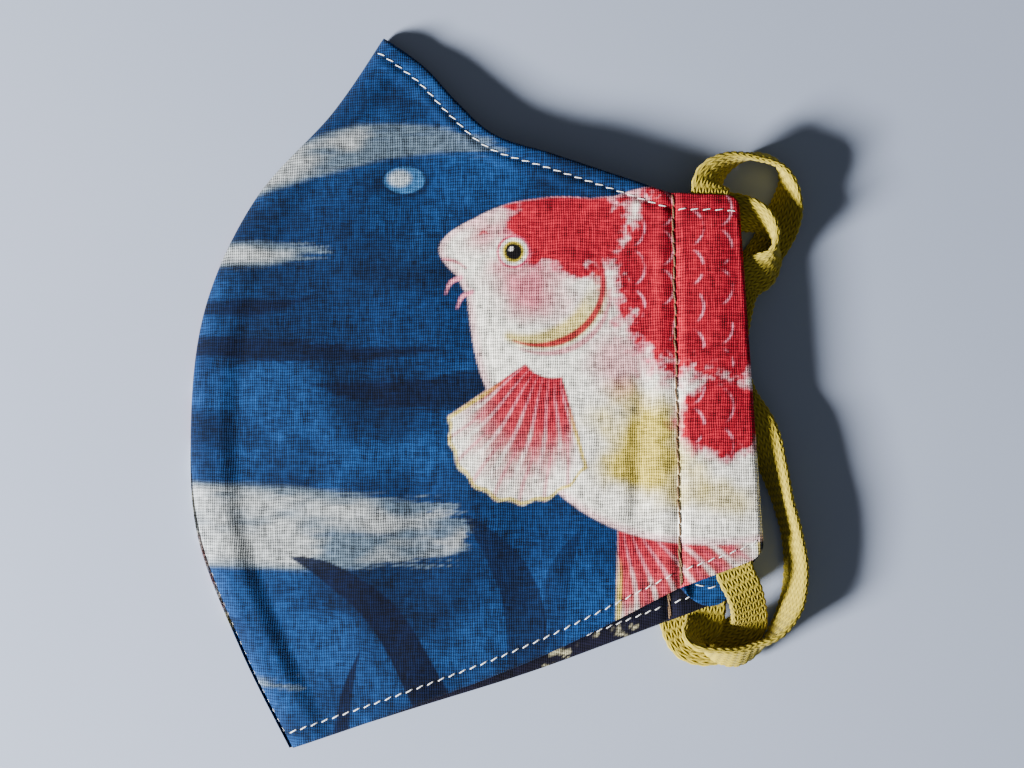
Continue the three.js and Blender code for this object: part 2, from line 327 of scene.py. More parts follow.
class Shader:
    """A node material under construction. Numbers and sockets are used alike as inputs."""

    def __init__(self, name, roughness, sheen, gloss):
        self.material = bpy.data.materials.new(name)
        self.material.use_nodes = True
        self.tree = self.material.node_tree
        self.surface = self.tree.nodes["Principled BSDF"]
        self.surface.inputs["Roughness"].default_value = roughness
        self.surface.inputs["Specular IOR Level"].default_value = gloss
        self.surface.inputs["Sheen Weight"].default_value = sheen
        self.surface.inputs["Sheen Roughness"].default_value = 0.5

    def node(self, kind, **settings):
        made = self.tree.nodes.new(kind)
        for key, value in settings.items():
            setattr(made, key, value)
        return made

    def put(self, socket, value):
        if isinstance(value, bpy.types.NodeSocket):
            self.tree.links.new(value, socket)
        else:
            socket.default_value = value

    def math(self, operation, a, b=0.0):
        made = self.node("ShaderNodeMath", operation=operation)
        self.put(made.inputs[0], a)
        self.put(made.inputs[1], b)
        return made.outputs[0]

    def add(self, a, b):
        return self.math("ADD", a, b)

    def times(self, a, b):
        return self.math("MULTIPLY", a, b)

    def ridge(self, value, power):
        """1 in the middle of each whole step of the value, falling to 0 between the steps."""
        wave = self.math("ABSOLUTE", self.math("SINE", self.times(value, math.pi)))
        return self.math("POWER", wave, power)

    def mix(self, share, a, b, blend="MIX"):
        made = self.node("ShaderNodeMix", data_type="RGBA", blend_type=blend)
        self.put(made.inputs[0], share)
        self.put(made.inputs[6], a)
        self.put(made.inputs[7], b)
        return made.outputs[2]

    def cloth(self):
        return self.node("ShaderNodeUVMap", uv_map="Cloth").outputs[0]

    def split(self, vector):
        made = self.node("ShaderNodeSeparateXYZ")
        self.put(made.inputs[0], vector)
        return made.outputs[0], made.outputs[1]

    def joined(self, x, y):
        made = self.node("ShaderNodeCombineXYZ")
        self.put(made.inputs[0], x)
        self.put(made.inputs[1], y)
        return made.outputs[0]

    def noise(self, vector, scale, detail=2.0):
        made = self.node("ShaderNodeTexNoise")
        self.put(made.inputs["Vector"], vector)
        made.inputs["Scale"].default_value = scale
        made.inputs["Detail"].default_value = detail
        return made.outputs["Fac"]

    def attribute(self, name, output="Color"):
        return self.node("ShaderNodeAttribute", attribute_name=name).outputs[output]

    def bump(self, height, distance, strength):
        made = self.node("ShaderNodeBump")
        made.inputs["Distance"].default_value = distance
        made.inputs["Strength"].default_value = strength
        self.put(made.inputs["Height"], height)
        self.put(self.surface.inputs["Normal"], made.outputs["Normal"])

    def colour(self, value):
        self.put(self.surface.inputs["Base Color"], value)


WARP_PITCH = 0.47  # threads that run up the mask
WEFT_PITCH = 0.62  # threads that run across it


def woven(name, gap_light):
    """Plain-woven cotton in the colours of the Print attribute, seen thread by thread, with painted
    highlights on the thread tops and painted shade in the gaps between them.
    """
    s = Shader(name, roughness=0.9, sheen=0.03, gloss=0.12)
    cloth = s.cloth()
    x, y = s.split(cloth)
    drift = s.times(s.noise(cloth, 0.12), 1.6)
    warp = s.add(s.times(x, 1 / WARP_PITCH), drift)
    weft = s.add(s.times(y, 1 / WEFT_PITCH), drift)
    over = s.times(
        s.math("SINE", s.times(warp, math.pi)), s.math("SINE", s.times(weft, math.pi)),
    )
    warp_on_top = s.node("ShaderNodeClamp")
    s.put(warp_on_top.inputs[0], s.add(s.times(over, 1.6), 0.5))
    top = s.times(warp_on_top.outputs[0], 0.36)
    warp_float = s.times(s.ridge(warp, 1.0), s.add(s.times(s.ridge(weft, 0.6), 0.25), 0.75))
    weft_float = s.times(s.ridge(weft, 0.9), s.add(s.times(s.ridge(warp, 0.6), 0.55), 0.45))
    warp_high = s.times(warp_float, s.add(top, 0.64))
    weft_high = s.times(weft_float, s.math("SUBTRACT", 1.0, top))
    crown = s.math("MAXIMUM", warp_high, weft_high)
    slub = s.noise(s.joined(s.times(s.math("FLOOR", warp), 7.3), s.times(weft, 0.16)), 1.0)
    cross = s.noise(s.joined(s.times(warp, 0.16), s.times(s.math("FLOOR", weft), 7.3)), 1.0)
    uneven = s.add(s.add(slub, cross), -1.0)
    printed_colour = s.attribute("Print")
    grey = s.node("ShaderNodeRGBToBW")
    s.put(grey.inputs[0], printed_colour)
    pale = grey.outputs[0]
    low = s.add(s.times(pale, 0.1), gap_light)
    high = s.add(s.times(pale, 0.02), 1.42)
    # Painted highlight and shade: lit thread tops and shaded gaps are multiplied into the base
    # colour.
    lit = s.add(crown, s.times(uneven, 0.95))
    shade = s.add(low, s.times(lit, s.math("SUBTRACT", high, low)))
    shade = s.math("MAXIMUM", shade, 0.04)
    tone = s.node("ShaderNodeCombineColor")
    for socket in tone.inputs:
        s.put(socket, shade)
    s.colour(s.mix(1.0, printed_colour, tone.outputs[0], "MULTIPLY"))
    s.bump(s.add(crown, s.times(uneven, 0.5)), 0.00016, 0.6)
    return s.material


def spun(name, light, dark):
    """Sewing thread: plies twisted together, with a painted highlight on each ply's crown and
    painted shade where the plies meet.
    """
    s = Shader(name, roughness=0.6, sheen=0.1, gloss=0.3)
    x, y = s.split(s.cloth())
    ply = s.ridge(s.add(s.times(x, 1.9), s.times(y, 0.9)), 0.6)
    # Painted shade between the plies and painted highlight on their crowns.
    s.colour(s.mix(ply, solid(dark), solid(light)))
    s.bump(ply, 0.00008, 0.6)
    return s.material


# Knit colours: painted shade in the gaps, the body colour, painted highlight on raised strands, and
# a patchy tone.
KNIT_GAP_SHADE = (54, 46, 14)
KNIT_BODY = (196, 176, 40)
KNIT_STRAND_HIGHLIGHT = (238, 216, 86)
KNIT_WORN = (134, 118, 42)


def knitted(name):
    """Soft knitted cotton with loose fibres: painted highlight where a loop stands out and painted
    shade in the gaps between loops.
    """
    s = Shader(name, roughness=0.9, sheen=0.12, gloss=0.15)
    cloth = s.cloth()
    x, y = s.split(cloth)
    depth = s.attribute("Depth", "Fac")
    # Painted shade in the gaps between loops, painted highlight on the raised strands.
    gap_shaded = s.mix(s.math("POWER", depth, 1.3), solid(KNIT_GAP_SHADE), solid(KNIT_BODY))
    strands = s.noise(s.joined(s.times(x, 1.6), s.times(y, 8.0)), 1.5, 4.0)
    body = s.mix(s.times(strands, s.times(depth, 0.9)), gap_shaded, solid(KNIT_STRAND_HIGHLIGHT))
    patchy = s.noise(cloth, 0.5, 3.0)
    s.colour(s.mix(s.times(patchy, 0.22), body, solid(KNIT_WORN)))
    s.bump(strands, 0.00018, 0.7)
    return s.material


PRINTED = woven("printed_cotton", gap_light=-0.25)
LINING = woven("navy_lining", gap_light=0.0)
WHITE_THREAD = spun("white_thread", (252, 252, 250), (196, 200, 206))
BROWN_THREAD = spun("brown_thread", (122, 94, 62), (40, 27, 17))
KNIT = knitted("olive_knit")

# ---- ear loops (the cords come first)

FLOOR = 0.9
BETWEEN = 5.95
LEFT_ROUTE = [
    (49.6, 14, 8.55, 0), (49.4, 26, 8.55, 0), (49.3, 37.6, 8.55, 0), (49.4, 41.8, 8.4, 3),
    (50.4, 44.4, 7.1, 45), (54.2, 47.4, 5.4, 78), (59.2, 48.6, 4.8, 108), (63.7, 47.2, 4.6, 106),
    (65.9, 43.2, 4.4, 75), (65.9, 38.4, 3.2, 40), (64.4, 33.8, 1.3, 8), (62.2, 29.8, 0.9, 0),
    (59, 25.4, FLOOR, 0), (55.6, 20.6, FLOOR, 0), (52.6, 14, FLOOR, 0), (50, 4, FLOOR, 0),
    (48.4, -10, FLOOR, 0), (46.6, -24, FLOOR, 0), (44.8, -36, FLOOR, 0), (43.2, -44, FLOOR, 0),
    (42.8, -49, FLOOR, 0), (44.8, -52.8, FLOOR, 0), (48.4, -53.8, FLOOR, 0), (52.8, -52.4, 1, 0),
    (56.8, -49.6, 2.8, 10), (56.8, -45.8, 6, 14), (55.6, -42, 8.4, 5), (53.8, -38, 8.55, 0),
    (52.4, -28, 8.55, 0), (51.2, -14, 8.55, 0), (50.1, 4.6, 8.55, 0),
]
RIGHT_ROUTE = [
    (47.6, 8, 3.35, 0), (47.4, 18, 3.35, 0), (47.2, 29, 3.35, 0), (48.4, 34.4, 3.5, 2),
    (51.4, 36.8, 4.4, 12), (55.8, 36.6, 5.2, 25), (60.2, 35, 5.8, 55), (62.8, 31.6, 6.1, 85),
    (62.8, 27.6, 6, 112), (60.2, 24.4, 5.7, 160), (56.2, 21.6, 5.8, 178), (54, 15, BETWEEN, 180),
    (53.4, 6, BETWEEN, 180), (54.8, -1.6, BETWEEN, 180), (59, -8.6, 6.1, 187),
    (61.9, -15.6, 5.2, 228), (64.3, -23.5, 4.6, 250), (66.2, -30.8, 4.5, 250),
    (66.9, -38, 4.4, 240), (65.8, -45, 4.4, 238), (62.6, -50.6, 4.6, 258), (58.4, -54, 5, 288),
    (54.2, -55.6, 6, 300), (50.2, -55, 6.2, 290), (46.4, -53, 5.7, 256), (46, -51.6, 4.5, 212),
    (47.9, -48.6, 3.4, 183), (48.6, -40, 3.35, 180), (48.8, -28, 3.35, 180),
    (48.6, -14, 3.35, 180), (48, -1.4, 3.35, 180),
]

LOOP_STEP = 0.2  # between the rings of a ribbon's mesh
WALES = 14  # columns of knitting round the ribbon
COURSE = 1.6  # length of one knitted stitch
LEG_SLANT = 1.05  # how far a stitch's legs lean, in stitches
KNIT_RELIEF = 0.46


def centripetal(points, samples):
    """The centripetal Catmull-Rom line through the points, and how many each sample has passed."""
    p = np.array(points, float)
    p = np.vstack([2 * p[0] - p[1], p, 2 * p[-1] - p[-2]])
    t = np.linspace(0, len(points) - 1, samples)
    i = np.minimum(t.astype(int), len(points) - 2)
    w = (t - i)[:, None]
    p0, p1, p2, p3 = (p[i + k] for k in range(4))
    d0, d1, d2 = (
        np.maximum(np.linalg.norm(b - a, axis=1), 1e-4)[:, None] ** 0.5
        for a, b in ((p0, p1), (p1, p2), (p2, p3))
    )
    t1 = ((p1 - p0) / d0 - (p2 - p0) / (d0 + d1) + (p2 - p1) / d1) * d1
    t2 = ((p2 - p1) / d1 - (p3 - p1) / (d1 + d2) + (p3 - p2) / d2) * d1
    return hermite(p1, p2, t1, t2, w), t


def ribbon_outline(around):
    """A flat ribbon's section: points, their outward ways, and their shares and places round it."""
    radius = RIBBON_THICKNESS / 2
    half = RIBBON_WIDTH / 2 - radius
    flat, bend = 2 * half, math.pi * radius
    passed = (np.arange(around) + 0.5) * 2 * (flat + bend) / around
    points, outward = np.zeros((around, 2)), np.zeros((around, 2))
    for k, side in ((0, 1), (1, -1)):
        way = passed - k * (flat + bend)
        level = (way >= 0) & (way < flat)
        face = np.full(level.sum(), side * radius)
        points[level] = np.stack([side * (half - way[level]), face], -1)
        outward[level] = (0, side)
        round_edge = (way >= flat) & (way < flat + bend)
        turn = math.pi / 2 + (way[round_edge] - flat) / radius
        outward[round_edge] = np.stack([side * np.cos(turn), side * np.sin(turn)], -1)
        points[round_edge] = outward[round_edge] * radius - (side * half, 0)
    first_edge = flat + bend / 2
    return points, outward, (passed - first_edge) / (2 * (flat + bend)), passed


def knit_relief(round_share, along):
    """How far the knitting stands out, 0 to 1: columns of V stitches with grooves between them."""
    leg = np.abs((round_share * WALES + 0.5) % 1 * 2 - 1)
    stitch = 0.5 + 0.5 * np.cos(2 * np.pi * (along / COURSE - LEG_SLANT * leg))
    strand = np.sin(np.pi * np.clip(leg * 0.84 + 0.1, 0, 1)) ** 0.8
    return strand * (0.3 + 0.7 * stitch**0.8)


def ribbon(name, route, around=112):
    """The knitted ribbon along a route, and the points of its middle."""
    fine, passed_points = centripetal([r[:3] for r in route], 6000)
    line = Line(fine)
    steps = int(line.length / LOOP_STEP / (1))
    share = np.linspace(0, 1, steps)
    middle = line.at(share)
    at = np.interp(share * line.length, line.along, passed_points)
    turns = np.radians(np.interp(at, np.arange(len(route)), [r[3] for r in route]))
    window = np.hanning(27)
    turns = np.convolve(np.pad(turns, 13, mode="edge"), window / window.sum(), "valid")
    ahead = np.gradient(middle, axis=0)
    ahead /= np.linalg.norm(ahead, axis=1)[:, None]
    side = np.cross((0, 0, 1), ahead)
    side /= np.linalg.norm(side, axis=1)[:, None]
    over = np.cross(ahead, side)
    c, s = np.cos(turns)[:, None], np.sin(turns)[:, None]
    across, through = side * c + over * s, over * c - side * s
    points, outward, round_share, round_length = ribbon_outline(around)
    along = (share * line.length)[:, None]
    relief = knit_relief(round_share[None], along)
    uneven = cloudy(along / 3 + 0 * round_length, round_length / 2 + 0 * along, 71, 2) - 0.5
    out = KNIT_RELIEF * (relief - 0.78) + 0.1 * uneven
    wide = points[:, 0] * (1 + 0.025 * np.sin(along / 4.1)) + outward[:, 0] * out
    thick = points[:, 1] + outward[:, 1] * out
    rings = middle[:, None] + across[:, None] * wide[..., None]
    verts, faces = tube(rings + through[:, None] * thick[..., None])
    uv = np.stack(np.broadcast_arrays(along, round_length), -1).reshape(-1, 2)
    obj = make_mesh(name, verts, faces, uv, KNIT, depth=relief)
    return obj, middle


def ear_loop(half, route):
    """A channel's ribbon and the sewn join between its two ends."""
    obj, middle = ribbon(f"{half.name}_knitted_loop", route)
    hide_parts(f"{half.name}_ear_loop")
    end, start = np.array(route[-1][:3]), np.array(route[0][:3])
    inset = (start - end) / np.linalg.norm(start - end) * 0.5
    join_route = [(*(end + inset), 0), (*((start + end) / 2), 0), (*(start - inset), 0)]
    join, _ = ribbon(f"{half.name}_loop_butt_join", join_route)
    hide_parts(f"{half.name}_loop_join")
    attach(join, f"{half.name}_channel")
    return obj


left_loop = ear_loop(LEFT, LEFT_ROUTE)
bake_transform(left_loop)
right_loop = ear_loop(RIGHT, RIGHT_ROUTE)
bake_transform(right_loop)

# ---- the print

WATER = (11, 46, 92)
DEEP_WATER_AND_SHADE = (4, 25, 56)
BRIGHT_WATER = (24, 70, 128)
NAVY = (3, 13, 40)
BRUSHED_WHITE = (84, 101, 117)
WHITE = (250, 249, 240)
RED = (172, 20, 44)
DARK_RED = (112, 0, 24)
PINK = (206, 76, 108)
PALE_PINK = (246, 150, 176)
GOLD = (206, 184, 58)
BLACK = (10, 9, 12)
LINING_NAVY = (15, 15, 34)
LINING_DARK = (8, 8, 20)
CREAM = (176, 171, 138)
BUBBLE_BLUE = (52, 104, 156)
BUBBLE_WHITE = (190, 204, 214)


class Canvas:
    """Colours for cloth points at x, y in millimetres. Each call paints over what is there."""

    def __init__(self, x, y, base):
        self.x, self.y = np.ravel(x), np.ravel(y)
        self.colour = np.tile(linear(base), (len(self.x), 1))

    def lay(self, mask, rgb):
        m = np.clip(mask, 0, 1)[:, None]
        self.colour = self.colour * (1 - m) + linear(rgb) * m

    def stroke(self, points, widths, samples=90):
        """How far inside a stroke of varying half-width each point is, and how far along it."""
        line = spline(points, samples) if samples else np.array(points, float)
        wide = np.interp(np.linspace(0, 1, len(line)), np.linspace(0, 1, len(widths)), widths)
        best, share = np.full(len(self.x), -99.0), np.zeros(len(self.x))
        low, high = line.min(0) - max(widths) - 6, line.max(0) + max(widths) + 6
        near = (self.x > low[0]) & (self.x < high[0]) & (self.y > low[1]) & (self.y < high[1])
        x, y, got, got_share = self.x[near], self.y[near], best[near], share[near]
        for k in range(len(line) - 1):
            a, d = line[k], line[k + 1] - line[k]
            t = np.clip(((x - a[0]) * d[0] + (y - a[1]) * d[1]) / max(d @ d, 1e-9), 0, 1)
            off = np.hypot(x - a[0] - t * d[0], y - a[1] - t * d[1])
            inside = wide[k] + (wide[k + 1] - wide[k]) * t - off
            better = inside > got
            got[better] = inside[better]
            got_share[better] = (k + t[better]) / (len(line) - 1)
        best[near], share[near] = got, got_share
        return best, share

    def oval(self, x, y, wide, tall, lean=0.0):
        """Distance from the middle of an oval, 1 on its edge. It leans by an angle in degrees."""
        c, s = math.cos(math.radians(lean)), math.sin(math.radians(lean))
        dx, dy = self.x - x, self.y - y
        return np.hypot((dx * c + dy * s) / wide, (dy * c - dx * s) / tall)

    def fray(self, size, amount, seed):
        return (cloudy(self.x / size, self.y / size, seed, 3) - 0.5) * amount

    def bristles(self, seed, length=9.0, width=0.55):
        """Dry-brush streaks along X, from -1 to 1."""
        return cloudy(self.x / length, self.y / width, seed, 3) * 2 - 1


def paint_water(c):
    # Painted shade: the water is darker towards the lower left.
    c.lay(0.85 * ramp(c.x + 0.4 * c.y, 14, -44), DEEP_WATER_AND_SHADE)
    c.lay(0.8 * ramp(cloudy(c.x / 18, c.y / 12, 3), 0.4, 0.75), DEEP_WATER_AND_SHADE)
    c.lay(0.5 * ramp(cloudy(c.x / 20, c.y / 14, 9), 0.45, 0.75), BRIGHT_WATER)
    streak = c.bristles(21)
    bands = [
        ([(-52, 43), (-24, 51), (-6, 51.6), (6, 49.6)], [4.4, 4.6, 2.8, 0.2]),
        ([(-60, 28.4), (-44, 28), (-30, 28.8)], [3.0, 2.8, 0.5]),
        ([(-62, -28), (-36, -29.4), (-6, -30)], [9.0, 8.8, 5.6]),
        ([(-50, -60.4), (-43, -61), (-36, -61.4)], [0.9, 1.0, 0.1]),
    ]
    for points, widths in bands:
        inside, share = c.stroke(points, widths)
        tip = ramp(share, 0.5, 1.0)
        body = ramp(inside + streak * (0.5 + 2.4 * tip), -0.4, 1.0)
        c.lay(body * (0.94 - 0.2 * tip), BRUSHED_WHITE)
        bright = ramp(cloudy(c.x / 13, c.y / 4, 33, 3) + 0.3 * ramp(c.x, -30, -58), 0.42, 0.8)
        c.lay(body * bright * 0.28 * ramp(inside, 0, 2.5), WHITE)
        dry = ramp(cloudy(c.x / 6, c.y / 0.9, 35, 3), 0.6, 0.85)
        c.lay(body * dry * 0.3 * ramp(c.x, -50, -20), WATER)


def paint_streaks(c):
    """Long dark strokes of a nearly dry brush."""
    streak = c.bristles(47, 8.0, 0.4)
    strokes = [
        ([(-60, 17.2), (-46, 16.8), (-33, 18.8)], [2.0, 1.9, 0.1], 0.8),
        ([(-61, 9), (-40, 7.6), (-22, 6.8), (-6, 8)], [2.2, 2.8, 1.8, 0.2], 1.0),
        ([(-34, 0.2), (-16, -1.6), (0, -0.8), (14, -1.6)], [0.2, 3.2, 4.4, 4.2], 1.3),
    ]
    for points, widths, ragged in strokes:
        inside, _ = c.stroke(points, widths)
        c.lay(0.84 * ramp(inside + streak * ragged, -0.3, 0.9), NAVY)


def paint_weed(c):
    """Blades of water weed that rise from the lower edge."""
    blades = [
        ([(-38, -35), (-29.6, -38.4), (-18, -47.6), (-8.6, -64)], [0.1, 2.2, 3.4, 4.0], 0.96),
        ([(-23, -54), (-25.6, -62), (-27, -71)], [0.1, 1.1, 1.7], 0.92),
        ([(-1, -27), (6.6, -36), (10.6, -46), (11, -60)], [0.6, 3.4, 4.2, 3.8], 0.7),
        ([(22, -30), (17.6, -39), (16.6, -52)], [0.4, 2.6, 2.2], 0.5),
    ]
    for points, widths, share in blades:
        inside, _ = c.stroke(points, widths)
        c.lay(share * ramp(inside, -0.1, 0.25), NAVY)


def paint_bubble(c):
    x, y, wide, tall = -14.4, 43.4, 4.3, 2.9
    c.lay(0.7 * ramp(c.oval(x + 0.5, y - 0.4, wide, tall), 1.25, 0.95), DEEP_WATER_AND_SHADE)
    c.lay(0.9 * ramp(c.oval(x, y, wide, tall), 1.04, 0.94), BUBBLE_BLUE)
    c.lay(0.9 * ramp(c.oval(x - 1, y + 0.3, wide * 0.6, tall * 0.66), 1.2, 0.5), BUBBLE_WHITE)


BACKBONE = [(-4.6, 28.6), (4, 27.4), (15, 22.6), (28, 11.4), (43, 5), (60, 6.4), (88, 16)]
GIRTH = [2.3, 8.4, 16.4, 27.8, 37, 37.4, 28]


def paint_carp(c):
    """A plain red and white carp, facing left: a smooth body, round patches and rows of scales."""
    body, _ = c.stroke(BACKBONE, GIRTH)
    on = ramp(body, -0.2, 0.3)
    c.lay(on, WHITE)
    c.lay(on * 0.5 * ramp(body, 2.2, 0.2), PALE_PINK)
    c.lay(on * 0.85 * ramp(c.oval(12, 20.6, 13, 8.4, -24) + c.fray(5, 0.6, 61), 1.15, 0.2), PINK)
    c.lay(on * 0.7 * ramp(c.oval(3, 32, 8, 4.4, 28) + c.fray(4, 0.6, 62), 1.15, 0.2), PINK)
    c.lay(on * 0.95 * ramp(c.oval(35.5, -12, 12, 14, 20) + c.fray(6, 0.7, 60), 1.15, 0.45), GOLD)
    c.lay(on * 0.6 * ramp(c.oval(51, -23, 10, 5) + c.fray(5, 0.6, 63), 1.1, 0.3), GOLD)
    c.lay(on * 0.6 * ramp(c.oval(30, 5, 8, 10) + c.fray(6, 0.7, 64), 1.15, 0.3), PINK)
    paint_patches(c, on)
    paint_head(c, on)


def paint_patches(c, on):
    """Round red patches, with the pale edges of scales on them."""
    fray = c.fray(2.6, 0.5, 52) + c.fray(0.9, 0.24, 53)
    crown = c.oval(19.5, 34, 12.5, 9.6, -22)
    saddle = c.oval(51, 24, 20.5, 22, 8)
    flank = c.oval(51.5, -6.5, 8.6, 7.6, 15)
    patches = np.minimum(np.minimum(crown, saddle), flank) + fray
    c.lay(on * 0.85 * ramp(patches, 1.3, 1.0), PINK)
    c.lay(on * ramp(patches, 1.06, 0.96), RED)
    mottled = ramp(cloudy(c.x / 8, c.y / 8, 81), 0.45, 0.75)
    c.lay(on * 0.5 * mottled * ramp(patches, 1, 0.85), DARK_RED)
    row_height, scale_width = 6.0, 8.2
    row = np.floor(c.x / row_height)
    up = (c.y / scale_width + 0.5 * (row % 2)) % 1 - 0.5
    back = c.x / row_height - row
    edge = np.hypot(up * scale_width / 4.3, (back * row_height - 1.2) / 4.4) - 1
    line = ramp(np.abs(edge), 0.085, 0.02) * ramp(back, 0.35, 0.6)
    faint = ramp(cloudy(c.x / 3, c.y / 3, 14, 3), 0.38, 0.56)
    apart = ramp(np.abs(up), 0.47, 0.33)
    c.lay(on * 0.8 * line * apart * faint * ramp(patches, 1.0, 0.9) * ramp(c.x, 30, 34), PALE_PINK)


def paint_head(c, on):
    """The gill cover, mouth, whiskers, eye and nostril."""
    gill_turn = np.linspace(math.radians(62), math.radians(-112), 30)
    gill = [(12.5 + 13.6 * math.cos(t), 22.4 + 13 * math.sin(t)) for t in gill_turn]
    inside, share = c.stroke(gill, [0.2, 1.4, 2.4, 2.2, 0.8], samples=0)
    c.lay(on * 0.8 * ramp(inside, -1.0, 0.8) * ramp(share, 0.3, 0.6), GOLD)
    rim = [(x + 0.9, y - 0.9) for x, y in gill]
    inside, _ = c.stroke(rim, [0.1, 0.5, 0.6, 0.7, 0.1], samples=0)
    c.lay(on * 0.95 * ramp(inside, -0.35, 0.2), RED)
    rim = [(x + 2.4, y - 2.6) for x, y in gill[10:]]
    inside, _ = c.stroke(rim, [0.1, 0.5, 0.6, 0.1], samples=0)
    c.lay(on * 0.7 * ramp(inside, -0.5, 0.3), PINK)
    inside, _ = c.stroke([(-6.4, 26.6), (-3.6, 26), (-1.4, 24.6)], [0.2, 0.32, 0.1])
    c.lay(on * 0.85 * ramp(inside, -0.3, 0.2), PINK)
    for x, y in ((-2.6, 22.6), (-0.2, 19.6)):
        inside, _ = c.stroke([(x, y), (x - 2, y - 1), (x - 3, y - 3.4)], [0.55, 0.42, 0.12])
        c.lay(ramp(inside, -0.2, 0.25), PALE_PINK)
    x, y = 8.4, 28
    for radius, colour in ((3.5, PINK), (2.9, WHITE), (2.3, GOLD), (1.8, BLACK)):
        c.lay(on * ramp(np.hypot(c.x - x, c.y - y), radius + 0.18, radius - 0.18), colour)
    c.lay(on * ramp(np.hypot(c.x - x + 0.5, c.y - y - 0.6), 0.55, 0.3), WHITE)
    inside, _ = c.stroke([(1.2, 31.6), (2.2, 32.2), (3.2, 31.8)], [0.1, 0.4, 0.1])
    c.lay(on * 0.8 * ramp(inside, -0.25, 0.2), RED)


def paint_fan(c, pivot, middle, half_angle, reach, rays, root):
    """A fin: rays that open from a pivot, red at the root and pale at a rim edged with gold."""
    dx, dy = c.x - pivot[0], c.y - pivot[1]
    out = np.hypot(dx, dy)
    turn = (np.degrees(np.arctan2(dy, dx)) - middle + 180) % 360 - 180
    swing = turn / half_angle
    rim = reach * (0.66 + 0.34 * np.cos(swing * 1.25)) + 0.35 * np.cos(swing * rays * math.pi)
    edge = np.minimum((1 - np.abs(swing)) * out * 0.6, np.minimum(rim - out, out - reach * 0.2))
    on = ramp(edge, -0.1, 0.35)
    share = out / rim
    c.lay(on, WHITE)
    c.lay(on * 0.9 * ramp(share + c.fray(2, 0.3, 90), 1.0, 0.4), PINK)
    bend = swing * rays / 2 + 0.15 * np.sin(out / 4)
    ray = np.abs(bend % 1 - 0.5)
    c.lay(on * 0.92 * ramp(ray, 0.03, 0.2) * ramp(share, 1.0, root), RED)
    c.lay(on * 0.7 * ramp(share, 0.45, 0.2), RED)
    c.lay(on * 0.5 * ramp(ray, 0.36, 0.46) * ramp(share, 0.5, 0.8), PINK)
    c.lay(on * 0.85 * ramp(np.abs(edge - 0.5), 0.6, 0.25) * ramp(share, 0.45, 0.75), GOLD)


def printed(x, y):
    """The printed cotton's colour at each point of the cloth."""
    c = Canvas(x, y, WATER)
    paint_water(c)
    paint_streaks(c)
    paint_weed(c)
    paint_bubble(c)
    paint_fan(c, pivot=(30, -22), middle=-46, half_angle=46, reach=34, rays=9, root=0.75)
    paint_carp(c)
    paint_fan(c, pivot=(16.6, 8.6), middle=-110, half_angle=36, reach=34, rays=8, root=0.5)
    return c.colour


def printed_lining(x, y):
    """Near-black navy with a few pale dry-brush marks."""
    c = Canvas(x, y, LINING_NAVY)
    c.lay(0.7 * ramp(cloudy(c.x / 9, c.y / 9, 5), 0.4, 0.8), LINING_DARK)
    dry = cloudy(c.x / 1.6, c.y / 0.5, 39, 2)
    marks = cloudy(c.x / 6, c.y / 3.4, 17, 3) * ramp(cloudy(c.x / 22, c.y / 20, 25), 0.46, 0.62)
    for x0, y0, wide in ((33.5, -44.6, 5.4), (43, -42.6, 4.2), (52, -38, 3)):
        marks = np.maximum(marks, 0.62 * ramp(c.oval(x0, y0, wide, 2.6, 18), 1.2, 0.3))
    c.lay(0.85 * ramp(marks + 0.8 * dry, 1.04, 1.2), CREAM)
    return c.colour


# ---- panels

STITCH_PITCH = 2.3
PANEL_TALL = 115  # about, for spacing its points


class HemRow:
    """The topstitching along a half's upper or lower edge: its stitches are even in plan."""

    def __init__(self, half, from_upper):
        self.half = half
        self.from_upper = from_upper
        self.a = np.linspace(half.stitched_from, 0.988, 400)
        self.plan = Line(plan(self.a, self.up(self.a)))
        self.count = int(self.plan.length / STITCH_PITCH)

    def up(self, a):
        inset = STITCH_INSET / column_height(a)
        return 1 - inset if self.from_upper else inset

    def at(self, share):
        """The share across the half at a share of the row's length."""
        return np.interp(np.asarray(share) * self.plan.length, self.plan.along, self.a)

    def holes(self, a, u):
        """1 where the needle went through, between two stitches, and 0 elsewhere."""
        off = (u - self.up(a)) * column_height(a)
        stitch = np.interp(a, self.a, self.plan.along) / self.plan.length * self.count
        return bell(off, 0.42) * (0.5 + 0.5 * np.cos(2 * np.pi * stitch)) ** 3


SEAM_PEEK = 0.7  # how far the under half's edge shows past the upper one's


def to_edges(a, u):
    """How far points are from the half's upper and lower edges."""
    return (1 - u) * column_height(a), u * column_height(a)


def rolled(distance, radius):
    """0 at an edge, rising along a quarter circle to 1 at the radius."""
    d = np.clip(distance / radius, 0, 1)
    return np.sqrt(1 - (1 - d) ** 2)


def slack(half, a, u):
    """How far both layers of a half lie off their even surface: broad soft folds and creases."""
    xy = plan(a, u)
    x, y = xy[..., 0], xy[..., 1]
    loose = ramp(a * ACROSS, 4, 30) * ramp(a, 1.0, 0.9)
    broad = (cloudy(x / 32, y / 40, 101, 2) - 0.5) * 2.6
    broad = broad + (cloudy(x / 11, y / 26, 113, 2) - 0.5) * 1.1
    crease = -0.9 * bell(x - 35.2 - 0.05 * y, 2.0) * ramp(y, -36, -22) * ramp(y, 12, 0)
    crease = crease - 0.4 * bell(x - 37.5, 1.6) * ramp(y, 14, 22) * ramp(y, 40, 32)
    folded = 1 if half is LEFT else 0.12
    return folded * loose * (broad + crease)


